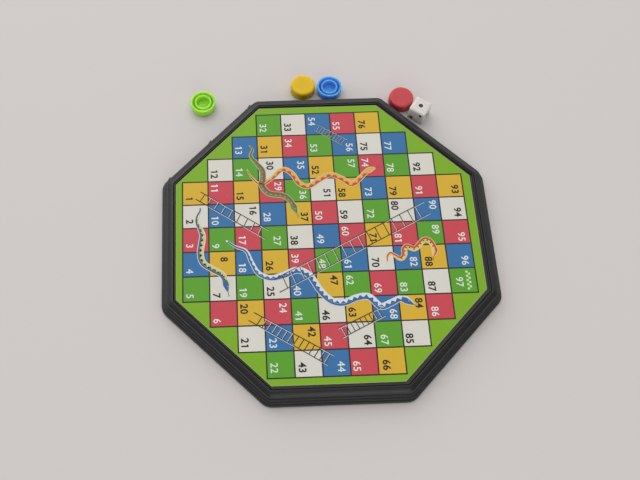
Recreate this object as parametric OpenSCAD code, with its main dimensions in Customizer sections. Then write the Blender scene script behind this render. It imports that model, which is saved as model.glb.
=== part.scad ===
// Octagonal snakes and ladders set: a moulded tray, the printed card in its
// recess, four hollow counters and a die, all lying on one table plane.
// Origin: centre of the tray at the table plane. +Y is the far side, +Z is up.

/* [Board] */
// Card across flats
card_flats = 226.2; // [160:0.2:300]
// Height of the card's printed face over the table
play_h = 12; // [9:0.1:14]
// Thickness of the card
card_t = 0.8; // [0.4:0.1:1.2]
// Gap round the card in its recess, when the card lies in the middle
card_gap = 1.2; // [1:0.1:1.6]

/* [Rim] */
// Width of the tray's rim, from the recess to the outside
rim_w = 10.8; // [10:0.1:16]
// Height of the lip over the card
lip_rise = 0.6; // [0.3:0.1:1.5]
// Width of the rounded lip
lip_w = 1; // [0.6:0.1:1.6]
// Width of the fine groove outside the lip
groove_w = 0.6; // [0.4:0.1:1]
// Depth of the fine groove
groove_d = 0.5; // [0.3:0.1:1]
// Fall of the sloping band, from the groove to the first step
band_drop = 2.1; // [1.5:0.1:3]
// Number of fine steps outside the band
step_n = 3; // [2:1:4]
// Width of one step
step_w = 1.3; // [1:0.1:1.5]
// Height of the base flange
flange_h = 2.4; // [1:0.1:3]
// Width of the base flange's top
flange_w = 1; // [0.6:0.1:1.4]

/* [Underside] */
// Thickness of the web under the card
web_t = 1.6; // [1.2:0.1:2.4]
// Thickness of the skirt wall
wall_t = 1.8; // [1.4:0.1:2.4]
// Distance between ribs
rib_pitch = 24.4; // [20:0.1:26]
// Thickness of a rib at its root
rib_root_t = 1.7; // [1.4:0.1:2.2]
// Thickness of a rib at its free edge
rib_edge_t = 1.2; // [1:0.1:1.4]
// Height of the ribs' free edges over the table
rib_clear = 0.5; // [0.2:0.1:1.5]
// Diameter of a support pad
pad_d = 8; // [5:0.5:12]

/* [Counters] */
// Outer diameter of a counter
counter_d = 20; // [18.5:0.5:24]
// Height of a counter
counter_h = 8; // [5:0.1:10]
// Thickness of a counter's outer wall
counter_wall = 1.5; // [1:0.1:2]
// Thickness of a counter's floor
counter_floor = 3.2; // [1.2:0.1:4]
// Outer diameter of the ring inside a counter
ring_d = 13.4; // [8:0.1:14.4]
// Thickness of that ring
ring_t = 1.3; // [1:0.1:1.8]
// How far the ring stays below the wall's edge
ring_low = 0.5; // [0.2:0.1:1.5]

/* [Die] */
// Edge length of the die
die_s = 14; // [12:0.5:16]
// Rounding of the die's edges
die_r = 1.6; // [0.6:0.1:2]
// Diameter of the single pip
ace_d = 3.5; // [2.5:0.1:4]
// Diameter of the other pips
pip_d = 2.7; // [2:0.1:3]
// Depth of a pip
pip_depth = 0.6; // [0.3:0.1:0.9]

/* [Hidden] */
$fn = 96;

// Every cut runs past the solid by this much
over = 1;
// Gap on the table between pieces that lie side by side
side_gap = 0.4;

SIDES = 8;
turn = 360 / SIDES;
half_turn = turn / 2;

// Half widths across flats: card, recess and tray
card_half = card_flats / 2;
recess_half = card_half + card_gap;
board_half = recess_half + rim_w;
board_side = 2 * board_half * tan(half_turn);

// Heights: underside of the web, seat of the card and top of the lip
seat_z = play_h - card_t;
web_z = seat_z - web_t;
lip_z = play_h + lip_rise;
lip_r = lip_w / 2;

// Rim, outwards from the recess: lip, groove, band, steps and base flange
band_x = lip_w + groove_w;
band_z = lip_z - lip_r / 4;
steps_x = rim_w - flange_w - step_n * step_w;
band_w = steps_x - band_x;
steps_z = band_z - band_drop;
step_h = (steps_z - flange_h) / step_n;
// The band falls by this power of its width, so it steepens outwards
band_bow = 1.7;
band_facets = 7;
// Shares of a step's width: its round nose, and how far its riser leans out
nose_share = 0.3;
lean_share = 0.25;
flange_r = flange_w * nose_share;

// The skirt's inner face runs along the inner corners of the steps
step_lean = atan2(step_w, step_h);
skirt_x = rim_w - flange_w - wall_t * cos(step_lean);
skirt_z = flange_h - wall_t * sin(step_lean);
skirt_top_x = skirt_x - (web_z - skirt_z) * tan(step_lean);

// The card lies a little to one side in its recess, by these shares of the gap
card_shift_shares = [-0.75, 0];

// Nicks that held the card in its sheet until it was pushed out
nick_w = 1.6;
nick_l = card_gap * 0.15;
nick_t = card_t / 2;

// Stubs on one side of the flange, where the moulding was broken off its feed:
// their outline as shares of length and width, and their places on the side
stub_w = 5;
stub_l = 1.6;
stub_h = flange_h * 0.5;
stub_side = 3;
stub_outline_shares = [[0, -0.5], [1, -0.42], [0.7, -0.15], [0.25, 0.3], [0, 0.5]];
stub_place_shares = [-0.45, -0.01, 0.43];

// Counter: edge radii, draft of its walls and dish of its closed face
counter_r = counter_d / 2;
counter_round = 1.6;
counter_draft = 0.25;
counter_dish = 0.15;

// Die: places of its pips, and its turn against the side that it lies beside
pip_spread = die_s * 0.25;
die_angle = -79.2;
die_reach = die_s / 2 * (cos(die_angle) - sin(die_angle));

// Places beside the tray: side of the octagon, distance from it and distance
// along it from its middle
far_side = 2;
die_side = 1;
green_side = 3;
pair_gap = 1.4;
pair_share = 0.45;
green_out_share = 1.403;
green_along_share = 0.216;
red_along_share = 0.373;
die_out_share = 0.75;
blue_at = beside(far_side, counter_r + side_gap / 2, -counter_r - pair_gap * pair_share);
yellow_at = beside(far_side, counter_r + 6.5 * side_gap, counter_r + pair_gap * (1 - pair_share));
green_at = beside(green_side, counter_d * green_out_share, -board_side * green_along_share);
red_along = board_side * red_along_share;
red_at = beside(die_side, counter_r + side_gap, red_along);
die_at = beside(die_side, die_s * die_out_share, red_along - counter_r - side_gap - die_reach);

// A point on the table beside one side of the tray
function beside(side, out, along) =
    let (a = side * turn, r = board_half + out)
        [r * cos(a) - along * sin(a), r * sin(a) + along * cos(a)];

// A regular octagon with two of its flats along X
function octagon(half) = [
    for (i = [0 : SIDES - 1])
        let (a = half_turn + i * turn, r = half / cos(half_turn))
            [r * cos(a), r * sin(a)]
];

// An arc of points, from angle a0 to a1
function arc(centre, r, a0, a1, n) = [
    for (i = [0 : n])
        let (a = a0 + (a1 - a0) * i / n) centre + r * [cos(a), sin(a)]
];

// One step of the rim, from its inner corner over its nose to its foot
function rim_step(i) =
    let (
        x = steps_x + i * step_w,
        z = steps_z - i * step_h,
        nose = step_w * nose_share,
        lean = step_w * lean_share
    )
    concat(
        [[x + lean, z]],
        arc([x + step_w - nose - lean, z - nose], nose, 90, 0, 3),
        [[x + step_w, z - step_h + nose * lean_share]]
    );

// Upper outline of the rim, from the recess out to the table, as [out, up]
function rim_top() = concat(
    arc([lip_r, lip_z - lip_r], lip_r, 180, 0, 8),
    [[lip_w + groove_w / 2, lip_z - lip_r - groove_d]],
    [for (i = [0 : band_facets])
        let (s = i / band_facets) [band_x + band_w * s, band_z - band_drop * pow(s, band_bow)]],
    [for (i = [0 : step_n - 1]) each rim_step(i)],
    arc([rim_w - flange_r, flange_h - flange_r], flange_r, 90, 0, 3),
    [[rim_w, 0]]
);

// An eighth of a turn in whole numbers: 470832 is to 665857 as 1 to the root
// of 2, so straight sides and round corners meet without a gap
eighth_share = 0.470832;
unit_share = 0.665857;
module eighth_turn() {
    multmatrix([
        [eighth_share, -eighth_share, 0, 0],
        [eighth_share, eighth_share, 0, 0],
        [0, 0, unit_share, 0],
        [0, 0, 0, 1]
    ]) children();
}

// Half a straight side, running on from a corner or up to it
module side_after(length) {
    translate([0, length, 0]) rotate([90, 0, 0]) linear_extrude(length) children();
}

module side_before(length) {
    rotate([90, 0, 0]) linear_extrude(length) children();
}

// Sweeps an outline, given as [out, up], round the octagon of this half width
module round_octagon(half) {
    side_half = half * tan(half_turn);
    reach = side_half + over;
    near = unit_share * half;
    far = unit_share * side_half;
    scale(1 / unit_share) for (quarter = [0 : 90 : 270]) rotate(quarter) {
        translate([near, far, 0]) {
            scale(unit_share) {
                side_before(reach) children();
                rotate_extrude(angle = turn) children();
            }
            eighth_turn() side_after(reach) children();
        }
        translate([far, near, 0]) {
            eighth_turn() {
                side_before(reach) children();
                rotate_extrude(angle = turn) children();
            }
            scale(unit_share) rotate(90) side_after(reach) children();
        }
    }
}

// The rim with its skirt; its underside stays inside the web
module rim() {
    web_mid = web_z + web_t / 2;
    round_octagon(recess_half)
        polygon(concat(
            [[skirt_x, 0], [skirt_x, skirt_z], [skirt_top_x - (web_mid - web_z) * tan(step_lean), web_mid], [0, web_mid]],
            rim_top()
        ));
}

module web() {
    translate([0, 0, web_z]) linear_extrude(web_t)
        polygon(octagon(recess_half + skirt_top_x + wall_t / 3));
}

// Everything inside the middle of the skirt, which leans with the steps
module inside_skirt() {
    mid = recess_half + skirt_x + wall_t / 2;
    intersection_for(i = [0 : SIDES / 2 - 1]) rotate(i * turn)
        translate([0, board_half, 0]) rotate([90, 0, 0]) linear_extrude(2 * board_half)
            polygon([
                [-mid, -over], [mid, -over], [mid, skirt_z],
                [mid - (seat_z - skirt_z) * tan(step_lean), seat_z],
                [(seat_z - skirt_z) * tan(step_lean) - mid, seat_z],
                [-mid, skirt_z]
            ]);
}

// One rib right across the board, thinner at its free edge
module rib() {
    translate([0, board_half, 0]) rotate([90, 0, 0]) linear_extrude(2 * board_half)
        polygon([
            [-rib_root_t / 2, web_z + web_t / 2], [rib_root_t / 2, web_z + web_t / 2],
            [rib_edge_t / 2, rib_clear], [-rib_edge_t / 2, rib_clear]
        ]);
}

module ribs() {
    last = floor(recess_half / rib_pitch);
    intersection() {
        for (i = [-last : last], a = [0, 90]) rotate(a) translate([i * rib_pitch, 0, 0]) rib();
        inside_skirt();
    }
}

// Round pads where ribs cross, which carry the middle of the board
module support_pads() {
    for (i = [-2 : 2 : 2], j = [-2 : 2 : 2])
        translate([i * rib_pitch, j * rib_pitch, 0]) cylinder(h = web_z + web_t / 2, d = pad_d);
}

module feed_stubs() {
    rotate(stub_side * turn) for (share = stub_place_shares)
        translate([board_half, share * board_side, 0]) linear_extrude(stub_h)
            polygon(concat(
                [[-over, stub_w / 2], [-over, -stub_w / 2]],
                [for (p = stub_outline_shares) [p[0] * stub_l, p[1] * stub_w]]
            ));
}

module tray() {
    color([0.14, 0.14, 0.14]) {
        rim();
        web();
        ribs();
        support_pads();
        feed_stubs();
    }
}

module playing_card() {
    color([0.44, 0.66, 0.16]) {
        translate(card_gap * [card_shift_shares[0], card_shift_shares[1], 0]) {
            translate([0, 0, seat_z]) linear_extrude(card_t) polygon(octagon(card_half));
            for (a = [0 : 90 : 270]) rotate(a)
                translate([card_half - over, -nick_w / 2, play_h - nick_t])
                    cube([nick_l + over, nick_w, nick_t]);
        }
    }
}

// Half outline of a counter that stands on its closed side, as [out, up]
function counter_outline() =
    let (ring_r = ring_d / 2, top = counter_h, w = counter_wall, rr = w / 2)
    concat(
        [[0, counter_dish], [counter_r - counter_round * 2, 0]],
        arc([counter_r - counter_draft - counter_round, counter_round], counter_round, -90, 0, 5),
        arc([counter_r - rr, top - rr], rr, 0, 180, 8),
        [[counter_r - w - counter_draft, counter_floor]],
        [[ring_r + counter_draft, counter_floor]],
        arc([ring_r - ring_t / 2, top - ring_low - ring_t / 2], ring_t / 2, 0, 180, 6),
        [[ring_r - ring_t - counter_draft, counter_floor], [0, counter_floor]]
    );

module counter() {
    rotate_extrude() polygon(counter_outline());
}

module open_side_up(at) {
    translate([at[0], at[1], 0]) children();
}

module closed_side_up(at) {
    translate([at[0], at[1], counter_h]) rotate([180, 0, 0]) children();
}

module counter_green() {
    color([0.42, 0.78, 0.16]) open_side_up(green_at) counter();
}

module counter_blue() {
    color([0.16, 0.45, 0.8]) open_side_up(blue_at) counter();
}

module counter_yellow() {
    color([0.88, 0.72, 0.12]) closed_side_up(yellow_at) counter();
}

module counter_red() {
    color([0.78, 0.26, 0.28]) closed_side_up(red_at) counter();
}

// A bar along Z with a square section and rounded edges
module rounded_bar() {
    flat = die_s - 2 * die_r;
    linear_extrude(die_s + 2 * over, center = true) {
        square([die_s, flat], center = true);
        square([flat, die_s], center = true);
        for (x = [-1, 1], y = [-1, 1]) translate([x * flat / 2, y * flat / 2]) circle(die_r);
    }
}

// Places of the pips on a face, in units of the pip spread
function pips(n) = [
    if (n % 2 == 1) [0, 0],
    if (n > 1) each [[-1, -1], [1, 1]],
    if (n > 3) each [[-1, 1], [1, -1]],
    if (n == 6) each [[-1, 0], [1, 0]]
];

// A round-bottomed recess in the face at the top of the die
module pip_cut(d) {
    r = (d * d / 4 + pip_depth * pip_depth) / (2 * pip_depth);
    translate([0, 0, die_s / 2 - pip_depth + r]) sphere(r);
}

module face_pips(n) {
    for (p = pips(n)) translate([p[0] * pip_spread, p[1] * pip_spread, 0])
        pip_cut(n == 1 ? ace_d : pip_d);
}

module die() {
    color([0.9, 0.9, 0.88]) translate([die_at[0], die_at[1], die_s / 2])
        rotate(die_side * turn + die_angle)
        difference() {
            intersection() {
                rounded_bar();
                rotate([90, 0, 0]) rounded_bar();
                rotate([0, 90, 0]) rounded_bar();
            }
            face_pips(1);
            rotate([90, 0, 0]) face_pips(2);
            rotate([0, 90, 0]) face_pips(3);
            rotate([0, -90, 0]) face_pips(4);
            rotate([-90, 0, 0]) face_pips(5);
            rotate([180, 0, 0]) face_pips(6);
        }
}

tray();
playing_card();
counter_green();
counter_yellow();
counter_blue();
counter_red();
die();
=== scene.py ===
import bisect
import math

import bmesh
import bpy
from mathutils import Matrix, Vector


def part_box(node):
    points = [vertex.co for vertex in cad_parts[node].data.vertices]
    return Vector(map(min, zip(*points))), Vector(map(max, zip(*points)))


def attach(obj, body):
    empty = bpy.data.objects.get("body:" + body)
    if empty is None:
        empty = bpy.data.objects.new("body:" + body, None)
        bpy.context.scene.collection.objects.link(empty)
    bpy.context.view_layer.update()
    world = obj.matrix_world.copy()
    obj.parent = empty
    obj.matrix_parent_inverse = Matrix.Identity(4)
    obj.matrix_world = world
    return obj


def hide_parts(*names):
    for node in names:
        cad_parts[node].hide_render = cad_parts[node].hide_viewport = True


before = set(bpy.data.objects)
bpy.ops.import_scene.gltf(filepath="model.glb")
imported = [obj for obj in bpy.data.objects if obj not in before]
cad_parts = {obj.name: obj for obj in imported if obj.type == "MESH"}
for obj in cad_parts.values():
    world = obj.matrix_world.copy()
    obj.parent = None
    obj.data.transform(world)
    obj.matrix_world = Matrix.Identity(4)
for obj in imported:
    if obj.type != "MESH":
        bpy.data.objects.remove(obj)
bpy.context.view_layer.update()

# Sizes are in millimetres, and MM turns them into metres
MM = 0.001
TAU = 2 * math.pi

# The card

# The printed squares: their size, where the middle of the grid lies, and the
# width of the lines between them
SQUARE = 19.5
GRID_MIDDLE = Vector((-1.61, -0.31))
GRID_LINE = 1.02
# Squares in each column, from the left, and how far along the cycle of colours
# each column is in the row of the first column's top square
COLUMN_SQUARES = (5, 7, 9, 11, 11, 11, 11, 11, 9, 7, 5)
COLUMN_STARTS = (0, 2, 0, 2, 4, 1, 0, 3, 0, 2, 0)
COLOUR_CYCLE = ("yellow", "white", "red", "blue", "green")
# The squares on which figures and ladders are pale
STRONG_COLOURS = ("green", "red", "blue")
# Half the grid's width and height, in squares
MIDDLE = len(COLUMN_SQUARES) / 2

# Ink films lie on the printed face in layers, each a step higher than the one
# before it, and each film a little thinner than the step
LAYERS = (
    "lines", "squares", "figures", "tongues", "halos", "bodies",
    "bands", "marks", "eye_whites", "eyes", "rungs", "rails",
)
FILM_STEP = 0.02
FILM_THICKNESS = 0.8 * FILM_STEP
# How far apart two corners of a film may be and still become one
FILM_JOIN = 0.002

# The card's box, its printed face and its middle
CARD_BOX = [Vector(corner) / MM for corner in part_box("playing_card")]
CARD_FACE = CARD_BOX[1].z
CARD_MIDDLE = (CARD_BOX[0] + CARD_BOX[1]).to_2d() / 2
# Half the card across flats, and the pale line along its cut edge
CARD_HALF = 113.1
CUT_EDGE_WIDTH = 0.5
CUT_EDGE_SETBACK = 0.05

# Numbers: the figures' size, pitch and added weight, and the outline of a
# figure one with a flag
DIGIT_SIZE = 7.5
DIGIT_PITCH = 3.95
DIGIT_BOLD = {"dark": 0.2, "white": 0.07}
DIGIT_ONE = (
    (0.75, -2.4), (0.75, 2.9), (0.0, 2.9), (-1.15, 2.35), (-1.15, 1.45), (-0.35, 1.75), (-0.35, -2.4),
)
# A number's place in its square, as shares of it: from the left by column, and
# from the top at one of a few heights, or both where it gives way to a snake
COLUMN_PLACES = (0.25, 0.24, 0.23, 0.25, 0.245, 0.245, 0.22, 0.26, 0.225, 0.28, 0.25)
SINGLE_HEIGHT = 0.77
USUAL_HEIGHT = 0.66
HIGH = 0.615
LOW = 0.695
HIGH_NUMBERS = (13, 14, 22, 28, 31, 32, 33, 49, 50, 52, 53, 55, 59, 63, 72, 75, 77, 78, 92)
LOW_NUMBERS = (10, 18, 19, 23, 25, 40, 41, 45, 46, 61, 69, 81, 83, 85, 86, 87, 88)
OTHER_PLACES = {
    1: (0.25, 0.72), 2: (0.26, 0.71), 3: (0.25, 0.73), 8: (0.55, 0.33), 11: (0.24, 0.29),
    16: (0.71, 0.31), 17: (0.26, 0.55), 20: (0.24, 0.34), 24: (0.68, 0.35), 27: (0.59, 0.63),
    29: (0.73, 0.29), 30: (0.45, 0.35), 34: (0.24, 0.35), 35: (0.68, 0.37), 36: (0.69, 0.7),
    37: (0.69, 0.65), 38: (0.24, 0.635), 39: (0.23, 0.39), 42: (0.68, 0.31), 43: (0.26, 0.64),
    44: (0.66, 0.65), 47: (0.64, 0.32), 48: (0.24, 0.64), 51: (0.64, 0.66), 54: (0.24, 0.37),
    56: (0.68, 0.63), 57: (0.69, 0.36), 60: (0.22, 0.32), 62: (0.23, 0.34), 64: (0.7, 0.69),
    66: (0.29, 0.65), 67: (0.31, 0.7), 68: (0.74, 0.73), 71: (0.27, 0.64), 74: (0.24, 0.35),
    76: (0.26, 0.58), 80: (0.23, 0.3), 82: (0.71, 0.68), 84: (0.72, 0.34), 89: (0.7, 0.37),
    90: (0.71, 0.31), 91: (0.25, 0.67), 93: (0.67, 0.67), 94: (0.65, 0.67), 95: (0.66, 0.72),
    96: (0.66, 0.7), 97: (0.34, 0.56),
}

# The strip of chequers beside the last number: the size of one and the strip's
# upper left corner, both in squares, and how many lie across and down
CHEQUER = 0.085
CHEQUERS_PLACE = (10.62, 7.12)
CHEQUERS_ACROSS = 2
CHEQUERS_DOWN = 9

# Ladders: ends of the two rails in squares from the grid's upper left corner,
# the number of rungs, the shares of the rails where the first and the last
# stand, and the width of its lines
LADDERS = (
    (((0.7, 3.45), (3.3, 5.2)), ((0.5, 3.75), (3.15, 5.55)), 9, 0.06, 0.9, 0.58),
    (((3.41, 7.23), (9.4, 4.2)), ((3.6, 7.75), (9.6, 4.7)), 17, 0.05, 0.94, 0.58),
    (((5.5, 0.55), (6.65, 1.3)), ((5.35, 0.8), (6.45, 1.55)), 10, 0.06, 0.92, 0.3),
    (((2.6, 8.5), (5.45, 10.25)), ((2.4, 8.8), (5.2, 10.6)), 14, 0.1, 0.95, 0.58),
    (((5.65, 9.25), (7.3, 8.5)), ((5.8, 9.6), (7.45, 8.8)), 9, 0.08, 0.92, 0.58),
)
# The pale line beside a dark one, as a share of its width, and the length of
# the parts in which a line is tested for the colour under it
PALE_LINE = 0.64
LADDER_PART = 1.5

# Snakes: the middle line from tail to head in squares, the body's width, the
# side band as shares of the half width, the inks of each part, how wide the
# tail's tip is and how far across the head its ink goes
SNAKES = (
    dict(
        name="zigzag_snake", width=4.2, tail=0.2, band=(-1.0, -0.4), marks=("teeth", "dots"),
        inks=dict(
            halo="halo_white", body="snake_yellow", band="snake_slate", head="snake_blue", dots="line",
        ),
        line=((0.68, 4.1), (0.68, 4.27), (0.57, 4.5), (0.56, 4.75), (0.68, 5.05), (0.76, 5.3),
              (0.73, 5.6), (0.67, 6.05), (0.77, 6.45), (1.12, 6.72), (1.47, 6.95), (1.6, 7.25),
              (1.68, 7.65)),
    ),
    dict(
        name="banded_snake", width=4.0, tail=0.16, crown=0.1, band=(0.1, 1.0), marks=("dots",),
        inks=dict(
            halo="halo_green", body="snake_green", band="snake_brown", head="snake_leaf",
            dots="snake_olive",
        ),
        line=((2.68, 1.4), (2.8, 1.6), (2.72, 1.9), (2.93, 2.22), (3.15, 2.55), (3.17, 2.9),
              (3.12, 3.25), (3.4, 3.6), (3.9, 3.7), (4.2, 3.95), (4.42, 4.5)),
    ),
    dict(
        name="spiked_snake", width=3.6, band=(-1.0, -0.55), marks=("scallops",),
        inks=dict(halo="halo_cream", body="snake_amber", band="snake_red", head="snake_amber"),
        line=((2.55, 2.5), (2.75, 2.9), (3.1, 3.18), (3.5, 2.95), (3.95, 2.55), (4.3, 2.72),
              (4.6, 3.2), (4.95, 3.33), (5.4, 3.05), (5.85, 2.85), (6.3, 3.05), (6.65, 3.3),
              (7.0, 3.05), (7.3, 2.75), (7.65, 2.6)),
    ),
    dict(
        name="toothed_snake", width=4.4, tail=0.2, band=(-1.0, -0.35), marks=("teeth",),
        inks=dict(halo="halo_white", body="snake_white", band="snake_blue", head="snake_blue"),
        line=((1.65, 5.55), (2.0, 5.82), (2.4, 6.02), (2.6, 6.5), (2.85, 6.95), (3.3, 7.15),
              (3.8, 7.05), (4.3, 6.87), (4.75, 7.1), (5.1, 7.7), (5.5, 8.13), (5.95, 8.23),
              (6.45, 8.05), (6.9, 8.03), (7.3, 8.42), (7.7, 8.3), (8.1, 8.15), (8.55, 8.4)),
    ),
    dict(
        name="spotted_snake", width=3.6, crown=0.1, band=(0.1, 1.0), marks=("dots",),
        inks=dict(
            halo="halo_cream", body="snake_cream", band="snake_red", head="snake_cream", dots="line",
        ),
        line=((7.73, 6.66), (7.75, 6.44), (7.88, 6.3), (8.03, 6.4), (8.25, 6.55), (8.4, 6.38),
              (8.42, 6.16), (8.55, 6.05), (8.8, 6.15), (8.99, 6.02), (9.12, 5.87), (9.28, 5.78),
              (9.44, 5.87), (9.54, 6.05), (9.57, 6.25), (9.5, 6.5)),
    ),
)
# A head's length in body widths, and its outline: half widths as shares of the
# body's, by share of its length from the tip back to the neck
HEAD_LENGTH = 2.3
HEAD_PROFILE = ((0.0, 0.0), (0.05, 0.3), (0.35, 0.84), (0.62, 1.2), (0.85, 1.0), (1.0, 0.86))
# How far the pale halo stands out beside the body, its share of that at the
# tail's tip, and the share of the length in which it gains a whole width
HALO_WIDTH = 0.5
HALO_AT_TIP = 0.35
HALO_GROWTH = 0.12
# The shares of a snake's length at which its body is full width, its band has
# its own width, and its marks begin
FULL_WIDTH_AT = 0.36
BAND_WIDTH_AT = 0.22
MARKS_FROM = 0.12
# How far from the tip of the head the marks end and the head's ink begins, in
# head lengths, and how far before the tip the inks stop, in mm
MARKS_END = 1.05
HEAD_INK = 0.98
TIP_GAP = 0.02
# The pitch of each kind of mark, in body widths
MARK_PITCH = {"teeth": 1.0, "dots": 0.95, "scallops": 1.5}
# A dot's radius and its distance from the band, in half widths of the body
DOT_RADIUS = 0.32
DOT_INWARD = 0.35
# Half a scallop's length as a share of the pitch, and its height in half widths
SCALLOP_HALF = 0.34
SCALLOP_HEIGHT = 0.85
# An eye's place, in head lengths back from the tip and half widths aside, and
# the radii of its white and its dark
EYE_PLACE = (0.45, 0.3)
EYE_WHITE_RADIUS = 0.42
EYE_RADIUS = 0.26
# A forked tongue: its stem's length, how far a tine reaches along and aside,
# and the widths of both
STEM_LENGTH = 2
TINE_REACH = (1.6, 0.9)
STEM_WIDTH = 0.42
TINE_WIDTH = 0.34

# Counters and die

COUNTER_RADIUS = 10
COUNTER_HEIGHT = 8
DIE_EDGE = 14
DIE_ROUNDING = 1.6
# The die's turn on the table, and the angle past which its edges stay sharp
DIE_TURN = -34.2
DIE_SHARP_ANGLE = 32
ACE_WIDTH = 3.5
PIP_WIDTH = 2.7
PIP_DEPTH = 0.6
PIP_SPREAD = 3.5
# How deep light goes into the translucent plastics
GLOW_DEPTH = 6.0

# The room

# The side that the light comes from, how bright the room is from the side away
# from it to the side towards it, and its slightly cool tint
WINDOW_SIDE = Vector((-0.22, 0.86, 0.45)).normalized()
ROOM_LEVELS = ((0.0, 0.26), (0.4, 0.3), (0.62, 0.55), (0.8, 0.95), (1.0, 1.15))
ROOM_TINT = (0.98, 0.985, 1.0)
# Lamps: name, place and size in metres, and power in watts
LAMPS = (
    ("window", (-0.55, 1.25, 1.2), 1.8, 9.7),
    ("ceiling", (0.3, 0.3, 1.8), 2.0, 3.9),
    ("near_fill", (0.3, -2.4, 0.9), 1.8, 18.4),
)
LAMP_COLOUR = (1.0, 0.985, 0.965)
# The table reaches this many metres each way, and lies just under the board
TABLE_REACH = 3.0
TABLE_DROP = 0.05

# The photograph's view: the camera's place and aim, its lens and sensor, the
# shift of the frame as shares of its width, and a small roll in degrees
CAMERA_PLACE = Vector((-65.0, -269.0, 609.4))
CAMERA_AIM = Vector((-51.1, 4.1, 12))
CAMERA_LENS = 49.44
CAMERA_SENSOR = 36
CAMERA_SHIFT = (0.09375, -0.01125)
CAMERA_ROLL = 0.74


def screen(r, g, b):
    """A colour written as it looks on a screen, 0 to 255, for the shaders."""
    def linear(value):
        value /= 255
        return value / 12.92 if value <= 0.04045 else ((value + 0.055) / 1.055) ** 2.4
    return (linear(r), linear(g), linear(b), 1.0)


INKS = {
    "yellow": screen(208, 168, 40),
    "white": screen(210, 207, 197),
    "red": screen(194, 64, 76),
    "blue": screen(45, 107, 160),
    "green": screen(84, 153, 30),
    "margin": screen(118, 167, 14),
    "cut_edge": screen(146, 170, 92),
    "line": screen(36, 25, 16),
    "digit_dark": screen(32, 20, 14),
    "digit_white": screen(216, 222, 215),
    "chequer_pale": screen(192, 218, 166),
    "ladder_dark": screen(44, 33, 26),
    "ladder_white": screen(214, 214, 210),
    "halo_white": screen(204, 208, 214),
    "halo_green": screen(160, 192, 120),
    "halo_cream": screen(222, 190, 142),
    "snake_slate": screen(68, 98, 124),
    "snake_yellow": screen(206, 196, 104),
    "snake_blue": screen(46, 94, 146),
    "snake_green": screen(112, 118, 72),
    "snake_leaf": screen(96, 134, 60),
    "snake_brown": screen(122, 84, 66),
    "snake_olive": screen(160, 152, 104),
    "snake_amber": screen(216, 166, 80),
    "snake_red": screen(182, 76, 50),
    "snake_white": screen(208, 216, 221),
    "snake_cream": screen(220, 190, 108),
}
BARE_BOARD = screen(186, 182, 170)
DUST = screen(222, 218, 208)
TABLE_PAPER = screen(208, 202, 200)
# The paler tone of scuffed and worn plastic
WORN = (0.62, 0.62, 0.62, 1)


# Node helpers

def add_node(tree, kind, inputs=None, **settings):
    """A node whose inputs are values, or sockets to link from."""
    made = tree.nodes.new(kind)
    for name, value in settings.items():
        setattr(made, name, value)
    for name, value in (inputs or {}).items():
        if isinstance(value, bpy.types.NodeSocket):
            tree.links.new(value, made.inputs[name])
        else:
            made.inputs[name].default_value = value
    return made


def new_group(name, inputs, outputs):
    """An empty shader node group, with its input and output nodes."""
    tree = bpy.data.node_groups.new(name, "ShaderNodeTree")
    for label, kind, value in inputs:
        socket = tree.interface.new_socket(label, in_out="INPUT", socket_type=kind)
        socket.default_value = value
    for label, kind in outputs:
        tree.interface.new_socket(label, in_out="OUTPUT", socket_type=kind)
    return tree, tree.nodes.new("NodeGroupInput"), tree.nodes.new("NodeGroupOutput")


def maths(tree, operation, a, b=0.0, clamp=False, third=0.0):
    """The result of one sum, whose terms are values or sockets."""
    inputs = {0: a, 1: b, 2: third}
    return add_node(tree, "ShaderNodeMath", inputs, operation=operation, use_clamp=clamp).outputs[0]


def mixed(tree, blend, share, a, b):
    """Two colours mixed by a share, each of them a value or a socket."""
    inputs = {0: share, 6: a, 7: b}
    return add_node(tree, "ShaderNodeMix", inputs, data_type="RGBA", blend_type=blend).outputs[2]


def rising(tree, value, low, high):
    """A mask that goes from nothing to all as the value goes from low to high."""
    inputs = {"Value": value, "From Min": low, "From Max": high}
    return add_node(tree, "ShaderNodeMapRange", inputs, clamp=True).outputs[0]


def aligned(tree, a, b):
    """The dot product of two directions."""
    return add_node(tree, "ShaderNodeVectorMath", {0: a, 1: b}, operation="DOT_PRODUCT").outputs["Value"]


def noise(tree, place, size, detail=2.0, rough=0.5, stretch=(1, 1, 1)):
    """Noise with features about this many millimetres across."""
    mapped = add_node(tree, "ShaderNodeMapping", {"Vector": place, "Scale": stretch})
    return add_node(
        tree, "ShaderNodeTexNoise",
        {"Vector": mapped.outputs[0], "Scale": 1 / (size * MM), "Detail": detail, "Roughness": rough},
    ).outputs["Fac"]


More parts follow.
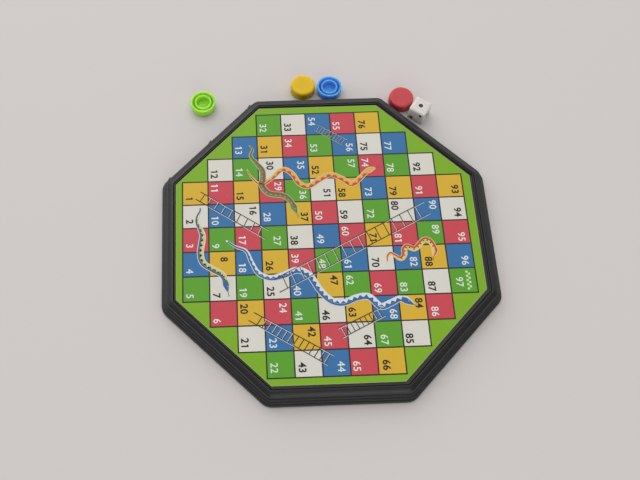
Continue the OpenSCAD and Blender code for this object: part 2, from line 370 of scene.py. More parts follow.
def make_moulded_surface():
    """Moulded plastic: fine skin of the mould, slow waves and light scuffs."""
    tree, given, out = new_group(
        "moulded_surface",
        (("Colour", "NodeSocketColor", (0.5, 0.5, 0.5, 1)),
         ("Gloss Roughness", "NodeSocketFloat", 0.35),
         ("Skin Height", "NodeSocketFloat", 0.01),
         ("Wave Height", "NodeSocketFloat", 0.04),
         ("Scuffs", "NodeSocketFloat", 0.3),
         ("Edge Wear", "NodeSocketFloat", 0.3),
         ("Edge Radius", "NodeSocketFloat", 0.0003)),
        (("Colour", "NodeSocketColor"), ("Roughness", "NodeSocketFloat"), ("Normal", "NodeSocketVector")),
    )
    place = add_node(tree, "ShaderNodeTexCoord").outputs["Object"]
    skin = noise(tree, place, 0.35, 3, 0.6)
    wave = noise(tree, place, 16, 2, 0.4)
    blotch = noise(tree, place, 7, 4, 0.6)
    # Scuffs: thin scratches along two directions, here and there
    scratch_a = noise(tree, place, 0.6, 2, 0.7, (1, 0.04, 1))
    scratch_b = noise(tree, place, 0.7, 2, 0.7, (0.05, 1, 1))
    mark = rising(tree, maths(tree, "MAXIMUM", scratch_a, scratch_b), 0.7, 0.78)
    worn = maths(tree, "MULTIPLY", maths(tree, "MULTIPLY", mark, blotch), given.outputs["Scuffs"])
    # Worn edges: where the rounded normal turns away from the true one
    rounded = add_node(
        tree, "ShaderNodeBevel", {"Radius": given.outputs["Edge Radius"]}, samples=4).outputs[0]
    plain = add_node(tree, "ShaderNodeNewGeometry").outputs["Normal"]
    turning = maths(tree, "SUBTRACT", 1.0, aligned(tree, rounded, plain))
    edge = maths(tree, "MULTIPLY", turning, 9.0, clamp=True)
    edge = maths(tree, "MULTIPLY", maths(tree, "MULTIPLY", edge, blotch), given.outputs["Edge Wear"])
    # Colour: slow blotches, paler where worn
    lift = maths(tree, "ADD", maths(tree, "MULTIPLY", worn, 0.5), edge)
    slow = maths(tree, "MULTIPLY", maths(tree, "SUBTRACT", blotch, 0.5), 0.16)
    toned = mixed(tree, "MULTIPLY", 1.0, given.outputs["Colour"], maths(tree, "ADD", 1.0, slow))
    tree.links.new(mixed(tree, "MIX", lift, toned, WORN), out.inputs["Colour"])
    # Roughness follows the blotches and the wear
    rough = maths(tree, "ADD", given.outputs["Gloss Roughness"], maths(tree, "MULTIPLY", slow, 1.2))
    rough = maths(tree, "ADD", rough, maths(tree, "MULTIPLY", lift, 0.5), clamp=True)
    tree.links.new(rough, out.inputs["Roughness"])
    # Height in mm: skin and waves, with the scuffs cut in
    skin_height = maths(tree, "MULTIPLY", skin, given.outputs["Skin Height"])
    wave_height = maths(tree, "MULTIPLY", wave, given.outputs["Wave Height"])
    cut = maths(tree, "MULTIPLY", worn, -0.01)
    height = maths(tree, "ADD", maths(tree, "ADD", skin_height, wave_height), cut)
    bump = add_node(tree, "ShaderNodeBump", {"Height": height, "Distance": MM, "Normal": rounded})
    tree.links.new(bump.outputs[0], out.inputs["Normal"])
    return tree


def make_printed_paper():
    """Ink on coated card: slow mottle, fine fibre and a little dust."""
    tree, given, out = new_group(
        "printed_paper",
        (("Ink", "NodeSocketColor", (0.5, 0.5, 0.5, 1)),
         ("Gloss Roughness", "NodeSocketFloat", 0.4),
         ("Mottle", "NodeSocketFloat", 0.08),
         ("Fibre Height", "NodeSocketFloat", 0.006),
         ("Specks", "NodeSocketFloat", 0.5)),
        (("Colour", "NodeSocketColor"), ("Roughness", "NodeSocketFloat"), ("Normal", "NodeSocketVector")),
    )
    place = add_node(tree, "ShaderNodeTexCoord").outputs["Object"]
    mottle = maths(tree, "SUBTRACT", noise(tree, place, 26, 3, 0.5), 0.5)
    fibre = noise(tree, place, 0.5, 3, 0.7)
    wave = noise(tree, place, 45, 1, 0.4)
    speck = rising(tree, noise(tree, place, 1.1, 1, 0.4), 0.79, 0.83)
    # Colour: the ink a little uneven, under specks of dust
    grain = maths(tree, "MULTIPLY", maths(tree, "SUBTRACT", fibre, 0.5), 0.4)
    uneven = maths(tree, "MULTIPLY", maths(tree, "ADD", mottle, grain), given.outputs["Mottle"])
    toned = mixed(tree, "MULTIPLY", 1.0, given.outputs["Ink"], maths(tree, "ADD", 1.0, uneven))
    dust_share = maths(tree, "MULTIPLY", speck, given.outputs["Specks"])
    tree.links.new(mixed(tree, "MIX", dust_share, toned, DUST), out.inputs["Colour"])
    rough = maths(tree, "ADD", given.outputs["Gloss Roughness"], maths(tree, "MULTIPLY", mottle, 0.12),
                  clamp=True)
    tree.links.new(rough, out.inputs["Roughness"])
    # Height in mm: fine fibre and the slow wave of the card
    fibre_height = maths(tree, "MULTIPLY", fibre, given.outputs["Fibre Height"])
    height = maths(tree, "ADD", fibre_height, maths(tree, "MULTIPLY", wave, 0.05))
    bump = add_node(tree, "ShaderNodeBump", {"Height": height, "Distance": MM})
    tree.links.new(bump.outputs[0], out.inputs["Normal"])
    return tree


MOULDED_SURFACE = make_moulded_surface()
PRINTED_PAPER = make_printed_paper()


def new_material(name, group, values, specular=0.5, glow=0.0):
    """A Principled material fed by a group; glow is how much light it lets through."""
    material = bpy.data.materials.new(name)
    material.use_nodes = True
    tree = material.node_tree
    shader = tree.nodes["Principled BSDF"]
    shader.inputs["Specular IOR Level"].default_value = specular
    shader.inputs["Subsurface Weight"].default_value = glow
    shader.inputs["Subsurface Radius"].default_value = (1.0, 1.0, 1.0)
    shader.inputs["Subsurface Scale"].default_value = GLOW_DEPTH * MM
    effect = add_node(tree, "ShaderNodeGroup", node_tree=group)
    for label, value in values.items():
        effect.inputs[label].default_value = value
    tree.links.new(effect.outputs["Colour"], shader.inputs["Base Color"])
    tree.links.new(effect.outputs["Roughness"], shader.inputs["Roughness"])
    tree.links.new(effect.outputs["Normal"], shader.inputs["Normal"])
    return material


def moulded(name, colour, rough, scuffs=0.25, wear=0.2, skin=0.012, wave=0.05, radius=0.25,
            glow=0.0, specular=0.5):
    """A moulded plastic; skin, wave and the radius of its worn edges are in mm."""
    return new_material(name, MOULDED_SURFACE, {
        "Colour": colour, "Gloss Roughness": rough, "Skin Height": skin, "Wave Height": wave,
        "Scuffs": scuffs, "Edge Wear": wear, "Edge Radius": radius * MM,
    }, specular, glow)


def printed(name, ink):
    """Card printed with an ink."""
    return new_material(name, PRINTED_PAPER, {
        "Ink": ink, "Gloss Roughness": 0.42, "Mottle": 0.1, "Fibre Height": 0.006, "Specks": 0.35,
    }, 0.3)


# Materials

TRAY_PLASTIC = moulded(
    "tray_plastic_black", screen(17, 16, 15), 0.38, scuffs=0.5, wear=0.04, skin=0.02, radius=0.3)
COUNTER_PLASTIC = {
    colour: moulded("counter_plastic_" + colour, tone, rough, scuffs, glow=0.85, specular=0.25)
    for colour, tone, rough, scuffs in (
        ("green", screen(162, 226, 68), 0.34, 0.25),
        ("yellow", screen(222, 184, 6), 0.36, 0.25),
        ("blue", screen(82, 156, 230), 0.34, 0.25),
        ("red", screen(198, 72, 78), 0.38, 0.9),
    )
}
DIE_PLASTIC = moulded(
    "die_plastic_white", screen(212, 207, 201), 0.28, scuffs=0.15, wear=0.05, wave=0.02, radius=0.1,
    glow=0.5)
PIP_PAINT = moulded(
    "pip_paint_black", screen(26, 24, 24), 0.45, scuffs=0.0, wear=0.0, wave=0.0, radius=0.1)
PRINT = {name: printed("print_" + name, ink) for name, ink in INKS.items()}


def make_card_stock():
    """The card: green print on its face, bare grey board on its cut edge and back."""
    material = printed("card_stock_green", INKS["margin"])
    tree = material.node_tree
    effect = next(n for n in tree.nodes if n.type == "GROUP")
    normal = add_node(tree, "ShaderNodeNewGeometry").outputs["Normal"]
    up = add_node(tree, "ShaderNodeSeparateXYZ", {0: normal}).outputs["Z"]
    face = maths(tree, "GREATER_THAN", up, 0.5)
    tree.links.new(mixed(tree, "MIX", face, BARE_BOARD, INKS["margin"]), effect.inputs["Ink"])
    return material


# Mesh helpers

def add_piece(name, mesh, body, materials=()):
    """Links a mesh as a piece that rides on a body, with these materials."""
    piece = bpy.data.objects.new(name, mesh)
    bpy.context.scene.collection.objects.link(piece)
    for material in materials:
        mesh.materials.append(material)
    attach(piece, body)
    return piece


def finish_mesh(name, work, smooth=False):
    """A mesh made of the work in hand, with its faces turned outwards."""
    bmesh.ops.recalc_face_normals(work, faces=work.faces[:])
    mesh = bpy.data.meshes.new(name)
    work.to_mesh(mesh)
    work.free()
    if smooth:
        mesh.shade_smooth()
    return mesh


def extrude_copy(work, faces, rise):
    """Adds a copy of the faces, moved by rise metres and walled to the first ones."""
    made = bmesh.ops.extrude_face_region(work, geom=faces, use_keep_orig=True)["geom"]
    moved = [item for item in made if isinstance(item, bmesh.types.BMVert)]
    bmesh.ops.translate(work, verts=moved, vec=(0, 0, rise))


def film_height(layer):
    """The height of a layer's upper side over the table, in mm."""
    return CARD_FACE + (LAYERS.index(layer) + 1) * FILM_STEP


def film(name, outlines, layer, ink):
    """Ink on the card: flat outlines in mm, laid as one thin closed film."""
    work = bmesh.new()
    top = film_height(layer) * MM
    for outline in outlines:
        work.faces.new([work.verts.new((x * MM, y * MM, top)) for x, y in outline])
    bmesh.ops.remove_doubles(work, verts=work.verts[:], dist=FILM_JOIN * MM)
    bmesh.ops.recalc_face_normals(work, faces=work.faces[:])
    for face in work.faces:
        if face.normal.z < 0:
            face.normal_flip()
    extrude_copy(work, work.faces[:], -FILM_THICKNESS * MM)
    return add_piece(name, finish_mesh(name, work), "board", (PRINT[ink],))


def on_card(x, y):
    """A place in squares from the grid's upper left corner, in mm."""
    return Vector(((x - MIDDLE) * SQUARE, (MIDDLE - y) * SQUARE)) + GRID_MIDDLE


def column_top(column):
    """The row of a column's uppermost square."""
    return (max(COLUMN_SQUARES) - COLUMN_SQUARES[column]) // 2


# The printing

def numbered_squares():
    """Yields each square's number, column, row and colour, up and down the columns."""
    number = 0
    for column, count in enumerate(COLUMN_SQUARES):
        rows = [column_top(column) + i for i in range(count)]
        if column % 2:
            rows.reverse()
        for row in rows:
            number += 1
            turn = (row - column_top(0) + COLUMN_STARTS[column]) % len(COLOUR_CYCLE)
            yield number, column, row, COLOUR_CYCLE[turn]


def print_grid_lines():
    """One dark film under all squares, which shows between them as lines."""
    edge = GRID_LINE / 2 / SQUARE
    upper = []
    for column, count in enumerate(COLUMN_SQUARES):
        top = column_top(column) - edge
        before = COLUMN_SQUARES[column - 1] if column else 0
        after = COLUMN_SQUARES[column + 1] if column + 1 < len(COLUMN_SQUARES) else 0
        if before != count:
            upper.append((column + (edge if before > count else -edge), top))
        if after != count:
            upper.append((column + 1 + (edge if after < count else -edge), top))
    lower = [(x, 2 * MIDDLE - y) for x, y in reversed(upper)]
    film("print_grid_lines", [[on_card(x, y) for x, y in upper + lower]], "lines", "line")


def print_squares():
    """The coloured squares, one film for each colour."""
    by_colour = {colour: [] for colour in COLOUR_CYCLE}
    edge = GRID_LINE / 2 / SQUARE
    corners = ((edge, edge), (1 - edge, edge), (1 - edge, 1 - edge), (edge, 1 - edge))
    for _, column, row, colour in numbered_squares():
        by_colour[colour].append([on_card(column + x, row + y) for x, y in corners])
    for colour, outlines in by_colour.items():
        film("print_squares_" + colour, outlines, "squares", colour)


def octagon(half):
    """The corners of an octagon about the card's middle."""
    reach = half / math.cos(TAU / 16)
    angles = [TAU * (i + 0.5) / 8 for i in range(8)]
    return [CARD_MIDDLE + reach * Vector((math.cos(a), math.sin(a))) for a in angles]


def print_cut_edge():
    """The pale line where the die cut through the print."""
    outer = octagon(CARD_HALF - CUT_EDGE_SETBACK)
    inner = octagon(CARD_HALF - CUT_EDGE_WIDTH)
    sides = [(i, (i + 1) % 8) for i in range(8)]
    film("print_cut_edge", [[outer[i], outer[j], inner[j], inner[i]] for i, j in sides],
         "lines", "cut_edge")


def figure_meshes(bold):
    """A flat mesh for each of the ten figures, with this much added weight in mm."""
    letters = bpy.data.curves.new("figure", "FONT")
    letters.size = DIGIT_SIZE * MM
    letters.offset = bold * MM
    letters.resolution_u = 4
    letters.extrude = FILM_THICKNESS / 2 * MM
    letters.align_x = "CENTER"
    letters.align_y = "CENTER"
    stand_in = bpy.data.objects.new("figure", letters)
    bpy.context.scene.collection.objects.link(stand_in)
    meshes = {}
    for figure in "0123456789":
        letters.body = figure
        bpy.context.view_layer.update()
        meshes[figure] = bpy.data.meshes.new_from_object(
            stand_in.evaluated_get(bpy.context.evaluated_depsgraph_get()))
    bpy.data.objects.remove(stand_in)
    work = bmesh.new()
    low = -FILM_THICKNESS / 2 * MM
    face = work.faces.new([work.verts.new((x * MM, y * MM, low)) for x, y in DIGIT_ONE])
    extrude_copy(work, [face], FILM_THICKNESS * MM)
    meshes["1"] = finish_mesh("figure_one", work)
    return meshes


def number_place(number, column, row):
    """Where a number's middle lies, in squares from the grid's upper left corner."""
    across = COLUMN_PLACES[column]
    down = USUAL_HEIGHT
    if number in OTHER_PLACES:
        across, down = OTHER_PLACES[number]
    elif number < 10:
        down = SINGLE_HEIGHT
    elif number in HIGH_NUMBERS:
        down = HIGH
    elif number in LOW_NUMBERS:
        down = LOW
    return column + across, row + down


def print_numbers():
    """Every square's number, set sideways so that it reads down the column."""
    figures = {tone: figure_meshes(bold) for tone, bold in DIGIT_BOLD.items()}
    works = {tone: bmesh.new() for tone in DIGIT_BOLD}
    level = film_height("figures") - FILM_THICKNESS / 2
    sideways = Matrix.Rotation(-TAU / 4, 4, "Z")
    for number, column, row, colour in numbered_squares():
        tone = "white" if colour in STRONG_COLOURS else "dark"
        middle = on_card(*number_place(number, column, row))
        for i, figure in enumerate(str(number)):
            down = (i - (len(str(number)) - 1) / 2) * DIGIT_PITCH
            place = Vector((middle.x, middle.y - down, level)) * MM
            shape = figures[tone][figure].copy()
            shape.transform(Matrix.Translation(place) @ sideways)
            works[tone].from_mesh(shape)
            bpy.data.meshes.remove(shape)
    for tone, work in works.items():
        bmesh.ops.remove_doubles(work, verts=work.verts[:], dist=FILM_JOIN / 2 * MM)
        mesh = bpy.data.meshes.new("print_numbers_" + tone)
        work.to_mesh(mesh)
        work.free()
        add_piece(mesh.name, mesh, "board", (PRINT["digit_" + tone],))


def print_chequered_strip():
    """A strip of small pale chequers beside the last number."""
    left, top = CHEQUERS_PLACE
    corners = ((0, 0), (1, 0), (1, 1), (0, 1))
    chequers = [
        [on_card(left + (i + x) * CHEQUER, top + (j + y) * CHEQUER) for x, y in corners]
        for i in range(CHEQUERS_ACROSS) for j in range(i, CHEQUERS_DOWN, 2)
    ]
    film("print_chequers", chequers, "figures", "chequer_pale")


def stroke(start, end, width, shift=0.0):
    """A straight line of this width, moved sideways by shift, as an outline."""
    along = (end - start).normalized()
    aside = Vector((-along.y, along.x))
    low = aside * (shift - width / 2)
    high = aside * (shift + width / 2)
    return [start + low, end + low, end + high, start + high]


def over_strong_colours(start, end, colours):
    """The parts of a line that lie over green, red and blue squares."""
    count = max(1, round((end - start).length / LADDER_PART))
    for i in range(count):
        low = start.lerp(end, i / count)
        high = start.lerp(end, (i + 1) / count)
        place = ((low + high) / 2 - GRID_MIDDLE) / SQUARE
        if colours.get((int(place.x + MIDDLE), int(MIDDLE - place.y))) in STRONG_COLOURS:
            yield low, high


def print_ladders():
    """Rails and rungs: a dark line each, with a pale one beside it on strong colours."""
    colours = {(column, row): colour for _, column, row, colour in numbered_squares()}
    outlines = {(part, tone): [] for tone in ("dark", "white") for part in ("rungs", "rails")}
    for rail_a, rail_b, count, first, last, width in LADDERS:
        a = [on_card(*place) for place in rail_a]
        b = [on_card(*place) for place in rail_b]
        shares = [first + (last - first) * i / (count - 1) for i in range(count)]
        rungs = [(a[0].lerp(a[1], share), b[0].lerp(b[1], share)) for share in shares]
        pale = width * PALE_LINE
        for part, lines in (("rails", (a, b)), ("rungs", rungs)):
            for start, end in lines:
                outlines[part, "dark"].append(stroke(start, end, width, width / 2))
                outlines[part, "white"] += [
                    stroke(low, high, pale, -pale / 2)
                    for low, high in over_strong_colours(start, end, colours)
                ]
    for (part, tone), strokes in outlines.items():
        film("print_" + part + "_" + tone, strokes, part, "ladder_" + tone)


def smooth_line(points, pieces=10):
    """A smooth curve through the points, as many short steps."""
    ends = [points[0] * 2 - points[1], *points, points[-1] * 2 - points[-2]]
    line = []
    for i in range(1, len(ends) - 2):
        p0, p1, p2, p3 = ends[i - 1:i + 3]
        for step in range(pieces):
            t = step / pieces
            line.append(0.5 * (2 * p1 + (p2 - p0) * t + (2 * p0 - 5 * p1 + 4 * p2 - p3) * t ** 2
                               + (3 * p1 - p0 - 3 * p2 + p3) * t ** 3))
    line.append(points[-1].copy())
    return line


class Snake:
    """A snake's middle line with its length, and places across its body."""

    def __init__(self, line, width, tail):
        self.points = smooth_line([on_card(x, y) for x, y in line])
        self.width = width
        self.tail = tail
        self.reached = [0.0]
        for a, b in zip(self.points, self.points[1:]):
            self.reached.append(self.reached[-1] + (b - a).length)
        self.length = self.reached[-1]
        self.head = width * HEAD_LENGTH

    def half(self, at):
        """Half the body's width at a distance from the tail."""
        growth = self.tail + (1 - self.tail) * at / (self.length * FULL_WIDTH_AT)
        body = self.width / 2 * min(1.0, growth)
        left = (self.length - at) / self.head
        if left >= 1:
            return body * (1 - (1 - HEAD_PROFILE[-1][1]) * math.exp(-(left - 1) * HEAD_LENGTH))
        for (low, a), (high, b) in zip(HEAD_PROFILE, HEAD_PROFILE[1:]):
            if left <= high:
                return self.width / 2 * (a + (b - a) * (max(left, 0.0) - low) / (high - low))

    def at(self, distance, aside=0.0):
        """The place at this distance from the tail, moved aside by a share of the half width."""
        distance = min(max(distance, 0.0), self.length)
        i = bisect.bisect_right(self.reached, distance, hi=len(self.reached) - 1) - 1
        a, b = self.points[i], self.points[i + 1]
        along = (self.points[min(i + 2, len(self.points) - 1)] - self.points[max(i - 1, 0)]).normalized()
        place = a.lerp(b, (distance - self.reached[i]) / (self.reached[i + 1] - self.reached[i]))
        return place + Vector((-along.y, along.x)) * aside * self.half(distance)

    def beside(self, distance, share, more):
        """The same, moved out by more mm, and by less of it near the tail's tip."""
        place = self.at(distance, share)
        if not more:
            return place
        out = self.at(distance, 1.0) - self.at(distance, 0.0)
        # Where the body has no width, the way out is found a little behind
        if out.length < 1e-6:
            behind = max(distance - 0.6, 0)
            out = self.at(behind, 1.0) - self.at(behind, 0.0)
        growth = HALO_AT_TIP + distance / (HALO_GROWTH * self.length)
        return place + out.normalized() * more * min(1.0, growth)

    def ribbon(self, start, end, low, high, step=0.5, more=0.0):
        """Quads along the body between two sides, given as functions of distance."""
        count = max(2, int((end - start) / step))
        quads = []
        for i in range(count):
            d0, d1 = (start + (end - start) * (i + j) / count for j in (0, 1))
            quads.append([self.beside(d0, low(d0), -more), self.beside(d1, low(d1), -more),
                          self.beside(d1, high(d1), more), self.beside(d0, high(d0), more)])
        return quads


def wide(share):
    """A side that keeps to one share of the half width."""
    return lambda distance: share


def disc(centre, radius, count=14):
    """A round outline of this many corners."""
    angles = [TAU * i / count for i in range(count)]
    return [centre + radius * Vector((math.cos(a), math.sin(a))) for a in angles]


def scallop(snake, start, pitch, foot):
    """One rounded scallop that rises from the side band."""
    middle = start + pitch * 0.5
    half = pitch * SCALLOP_HALF

    def rise(distance):
        return foot + SCALLOP_HEIGHT * math.sqrt(max(0.0, 1 - ((distance - middle) / half) ** 2))

    return snake.ribbon(middle - half, middle + half, wide(foot), rise, 0.3)


def snake_marks(snake, kind, foot):
    """Marks in a row along a body, behind the neck; foot is where the side band ends."""
    start = snake.length * MARKS_FROM
    end = snake.length - snake.head * MARKS_END
    count = round((end - start) / (snake.width * MARK_PITCH[kind]))
    pitch = (end - start) / count
    inward = DOT_INWARD if foot < 0 else -DOT_INWARD
    marks = []
    for i in range(count):
        here = start + i * pitch
        if kind == "teeth":
            tip = snake.at(here + pitch * 0.5, foot + 1.0)
            marks.append([snake.at(here, foot), snake.at(here + pitch, foot), tip])
        elif kind == "dots":
            radius = snake.half(here) * DOT_RADIUS
            marks.append(disc(snake.at(here + pitch, foot + inward), radius, 10))
        elif kind == "scallops":
            marks += scallop(snake, here, pitch, foot)
    return marks


def print_snake(name, width, band, marks, inks, line, tail=0.14, crown=0.7):
    """One snake: pale halo, body, side band, marks, head, eye and forked tongue."""
    snake = Snake(line, width, tail)
    end = snake.length - TIP_GAP
    neck = snake.length - snake.head * HEAD_INK
    foot = band[1] if band[0] < 0 else band[0]

    def tail_share(distance):
        """How much the band still spreads over the whole body, towards the tail."""
        return max(0.0, 1 - distance / (snake.length * BAND_WIDTH_AT))

    def band_low(distance):
        return band[0] - (band[0] + 1) * tail_share(distance)

    def band_high(distance):
        return band[1] + (1 - band[1]) * tail_share(distance)

    halo = snake.ribbon(0.05, end, wide(-1), wide(1), 0.5, HALO_WIDTH)
    film(name + "_halo", halo, "halos", inks["halo"])
    film(name + "_body", snake.ribbon(0.3, end, wide(-1), wide(1)), "bodies", inks["body"])
    side = snake.ribbon(snake.length * 0.01, end, band_low, band_high)
    film(name + "_band", side, "bands", inks["band"])
    for kind in marks:
        ink = inks["dots" if kind == "dots" else "band"]
        film(name + "_" + kind, snake_marks(snake, kind, foot), "marks", ink)
    head = snake.ribbon(neck, end, wide(-1), wide(crown), 0.4)
    film(name + "_head", head, "marks", inks["head"])
    eye = snake.at(snake.length - snake.head * EYE_PLACE[0], EYE_PLACE[1])
    film(name + "_eye_white", [disc(eye, EYE_WHITE_RADIUS)], "eye_whites", "halo_white")
    film(name + "_eye", [disc(eye, EYE_RADIUS)], "eyes", "line")
    tip = snake.points[-1]
    along = (tip - snake.points[-3]).normalized()
    aside = Vector((-along.y, along.x)) * TINE_REACH[1]
    fork = tip + along * STEM_LENGTH
    reach = fork + along * TINE_REACH[0]
    film(name + "_tongue", [
        stroke(tip - along * 0.3, fork, STEM_WIDTH),
        stroke(fork - along * 0.1, reach + aside, TINE_WIDTH),
        stroke(fork - along * 0.1, reach - aside, TINE_WIDTH),
    ], "tongues", "snake_brown")


# Counters and die

def turned(name, outline, steps=96):
    """A solid turned about the Z axis from an outline of [out, up] in mm."""
    work = bmesh.new()
    angles = [TAU * i / steps for i in range(steps)]
    rings = []
    for out, up in outline:
        if out == 0:
            rings.append([work.verts.new((0, 0, up * MM))] * steps)
        else:
            rings.append([
                work.verts.new((out * math.cos(a) * MM, out * math.sin(a) * MM, up * MM)) for a in angles
            ])
    for low, high in zip(rings, rings[1:]):
        for i in range(steps):
            j = (i + 1) % steps
            corners = list(dict.fromkeys((low[i], low[j], high[j], high[i])))
            if len(corners) > 2:
                work.faces.new(corners)
    return finish_mesh(name, work, smooth=True)


def bend(x, z, radius, start, end, steps=6):
    """Points along a rounded edge about a centre, between two angles in degrees."""
    angles = [math.radians(start + (end - start) * i / steps) for i in range(steps + 1)]
    return [(x + radius * math.cos(a), z + radius * math.sin(a)) for a in angles]


def counter_outline():
    """Half a counter, closed side down: dished face, wall, floor and inner ring."""
    outer, height, floor = COUNTER_RADIUS, COUNTER_HEIGHT, 3.2
    wall, draft = 1.5, 0.25
    ring, ring_wall, ring_height = 6.7, 1.3, 7.5
    lip, root = 0.3, 0.5
    return [
        (0, 0.15), (4, 0.13), (outer - 3.2, 0.04), (outer - 2.5, 0),
        *bend(outer - draft - 1.6, 1.6, 1.6, -78, 0, 9),
        (outer - draft * 0.6, 3.6), (outer - draft * 0.2, 6),
        *bend(outer - 0.45, height - 0.45, 0.45, 0, 90),
        *bend(outer - wall + lip, height - lip, lip, 90, 180),
        (outer - wall - draft * 0.6, 4.6),
        *bend(outer - wall - draft - root, floor + root, root, 0, -90),
        *bend(ring + draft + 0.4, floor + 0.4, 0.4, -90, -180),
        *bend(ring - lip, ring_height - lip, lip, 0, 90),
        *bend(ring - ring_wall + lip, ring_height - lip, lip, 90, 180),
        *bend(ring - ring_wall - draft - root, floor + root, root, 0, -90),
        (1.3, floor), (1.2, floor + 0.12), (0.9, floor + 0.16), (0, floor + 0.16),
    ]


def make_counter(colour, closed_side_up):
    """A smooth counter in place of its CAD solid, lying on one side or the other."""
    node = "counter_" + colour
    low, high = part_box(node)
    mesh = turned("shaped_counter_" + colour, counter_outline())
    if closed_side_up:
        over = Matrix.Rotation(TAU / 2, 4, "X")
        mesh.transform(Matrix.Translation((0, 0, COUNTER_HEIGHT * MM)) @ over)
    mesh.transform(Matrix.Translation(((low[0] + high[0]) / 2, (low[1] + high[1]) / 2, low[2])))
    piece = add_piece(
        mesh.name, mesh, colour + "_counter", (COUNTER_PLASTIC[colour],))
    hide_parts(node)


def pip_places(count):
    """Where a face's pips go, in units of their spread."""
    places = [(0, 0)] if count % 2 else []
    if count > 1:
        places += [(-1, -1), (1, 1)]
    if count > 3:
        places += [(-1, 1), (1, -1)]
    if count == 6:
        places += [(-1, 0), (1, 0)]
    return places


def pip_cutters():
    """Spheres that cut each face's pips as shallow dishes."""
    work = bmesh.new()
    turns = {
        1: Matrix.Identity(4),
        2: Matrix.Rotation(TAU / 4, 4, "X"),
        3: Matrix.Rotation(TAU / 4, 4, "Y"),
        4: Matrix.Rotation(-TAU / 4, 4, "Y"),
        5: Matrix.Rotation(-TAU / 4, 4, "X"),
        6: Matrix.Rotation(TAU / 2, 4, "X"),
    }
    for count, turn in turns.items():
        width = ACE_WIDTH if count == 1 else PIP_WIDTH
        radius = (width ** 2 / 4 + PIP_DEPTH ** 2) / (2 * PIP_DEPTH)
        height = DIE_EDGE / 2 - PIP_DEPTH + radius
        for x, y in pip_places(count):
            place = Matrix.Translation(Vector((x * PIP_SPREAD, y * PIP_SPREAD, height)) * MM)
            bmesh.ops.create_uvsphere(
                work, u_segments=40, v_segments=32, radius=radius * MM, matrix=turn @ place)
    return finish_mesh("pip_cutters", work)


def make_die():
    """A cube with rounded edges and painted, dished pips."""
    work = bmesh.new()
    bmesh.ops.create_cube(work, size=DIE_EDGE * MM)
    bmesh.ops.bevel(
        work, geom=work.edges[:], offset=DIE_ROUNDING * MM, segments=7, profile=0.5, affect="EDGES")
    mesh = finish_mesh("shaped_die", work, smooth=True)
    cutter_mesh = pip_cutters()
    mesh.materials.append(DIE_PLASTIC)
    mesh.materials.append(PIP_PAINT)
    cutter_mesh.materials.append(PIP_PAINT)
    die = bpy.data.objects.new("shaped_die", mesh)
    tool = bpy.data.objects.new("pip_cutters", cutter_mesh)
    for item in (die, tool):
        bpy.context.scene.collection.objects.link(item)
    cut = die.modifiers.new("pips", "BOOLEAN")
    cut.operation = "DIFFERENCE"
    cut.object = tool
    cut.solver = "EXACT"
    cut.material_mode = "TRANSFER"
    bpy.context.view_layer.update()
    shaped = bpy.data.meshes.new_from_object(die.evaluated_get(bpy.context.evaluated_depsgraph_get()))
    for item in (die, tool):
        bpy.data.objects.remove(item)
    low, high = (Vector(corner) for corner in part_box("die"))
    turn = Matrix.Rotation(math.radians(DIE_TURN), 4, "Z")
    shaped.transform(Matrix.Translation((low + high) / 2) @ turn)
    shaped.name = "shaped_die"
    shaped.set_sharp_from_angle(angle=math.radians(DIE_SHARP_ANGLE))
    piece = add_piece("shaped_die", shaped, "die")
    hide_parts("die")


# The scene

def dress_node(node, material):
    """Gives a CAD node its finish."""
    mesh_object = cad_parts[node]
    if not mesh_object.material_slots:
        mesh_object.data.materials.append(material)
    for slot in mesh_object.material_slots:
        slot.material = material


def make_table():
    """A plain pale floor under the set."""
    work = bmesh.new()
    corners = ((-1, -1), (1, -1), (1, 1), (-1, 1))
    work.faces.new([
        work.verts.new((x * TABLE_REACH, y * TABLE_REACH, -TABLE_DROP * MM)) for x, y in corners
    ])
    mesh = bpy.data.meshes.new("table")
    work.to_mesh(mesh)
    work.free()
    table = bpy.data.objects.new("table", mesh)
    bpy.context.scene.collection.objects.link(table)
    material = bpy.data.materials.new("table_paper")
    material.use_nodes = True
    shader = material.node_tree.nodes["Principled BSDF"]
    shader.inputs["Base Color"].default_value = TABLE_PAPER
    shader.inputs["Roughness"].default_value = 0.75
    shader.inputs["Specular IOR Level"].default_value = 0.2
    mesh.materials.append(material)


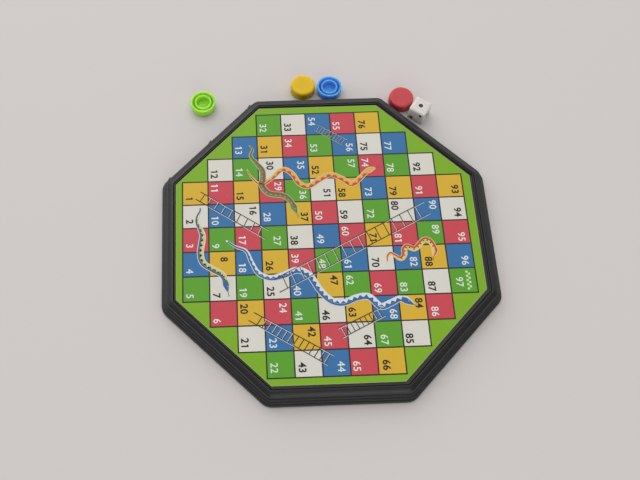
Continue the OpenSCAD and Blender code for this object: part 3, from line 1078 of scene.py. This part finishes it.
def make_room():
    """A soft room, brightest on the side of the window."""
    world = bpy.data.worlds.new("soft_room")
    bpy.context.scene.world = world
    world.use_nodes = True
    tree = world.node_tree
    looking = add_node(tree, "ShaderNodeTexCoord").outputs["Generated"]
    towards_window = aligned(tree, looking, WINDOW_SIDE)
    share = maths(tree, "MULTIPLY_ADD", towards_window, 0.5, third=0.5)
    brightness = add_node(tree, "ShaderNodeValToRGB", {"Fac": share})
    ramp = brightness.color_ramp
    ramp.interpolation = "B_SPLINE"
    for position, _ in ROOM_LEVELS[1:-1]:
        ramp.elements.new(position)
    for element, (position, level) in zip(ramp.elements, ROOM_LEVELS):
        element.position = position
        element.color = (*(level * tint for tint in ROOM_TINT), 1)
    background = tree.nodes["Background"]
    tree.links.new(brightness.outputs["Color"], background.inputs["Color"])
    background.inputs["Strength"].default_value = 1.0


def make_lamps():
    """Soft square lamps that look at the board's middle."""
    for name, place, size, power in LAMPS:
        lamp = bpy.data.lights.new(name, "AREA")
        lamp.shape = "SQUARE"
        lamp.size = size
        lamp.energy = power
        lamp.color = LAMP_COLOUR
        item = bpy.data.objects.new(name, lamp)
        item.location = place
        item.rotation_euler = (-Vector(place)).to_track_quat("-Z", "Y").to_euler()
        bpy.context.scene.collection.objects.link(item)


def make_camera():
    """The photograph's view."""
    lens = bpy.data.cameras.new("camera")
    lens.lens = CAMERA_LENS
    lens.sensor_width = CAMERA_SENSOR
    lens.shift_x, lens.shift_y = CAMERA_SHIFT
    lens.clip_start = 0.01
    lens.clip_end = 20
    camera = bpy.data.objects.new("camera", lens)
    turn = (CAMERA_AIM - CAMERA_PLACE).to_track_quat("-Z", "Y").to_matrix().to_4x4()
    roll = Matrix.Rotation(math.radians(CAMERA_ROLL), 4, "Z")
    camera.matrix_world = Matrix.Translation(CAMERA_PLACE * MM) @ turn @ roll
    bpy.context.scene.collection.objects.link(camera)
    bpy.context.scene.camera = camera


make_camera()
make_room()
make_lamps()
make_table()
bpy.context.scene.view_settings.view_transform = "Standard"

dress_node("tray", TRAY_PLASTIC)
dress_node("playing_card", make_card_stock())
print_cut_edge()
print_grid_lines()
print_squares()
print_numbers()
print_chequered_strip()
print_ladders()
for snake in SNAKES:
    print_snake(**snake)
make_counter("green", closed_side_up=False)
make_counter("blue", closed_side_up=False)
make_counter("yellow", closed_side_up=True)
make_counter("red", closed_side_up=True)
make_die()
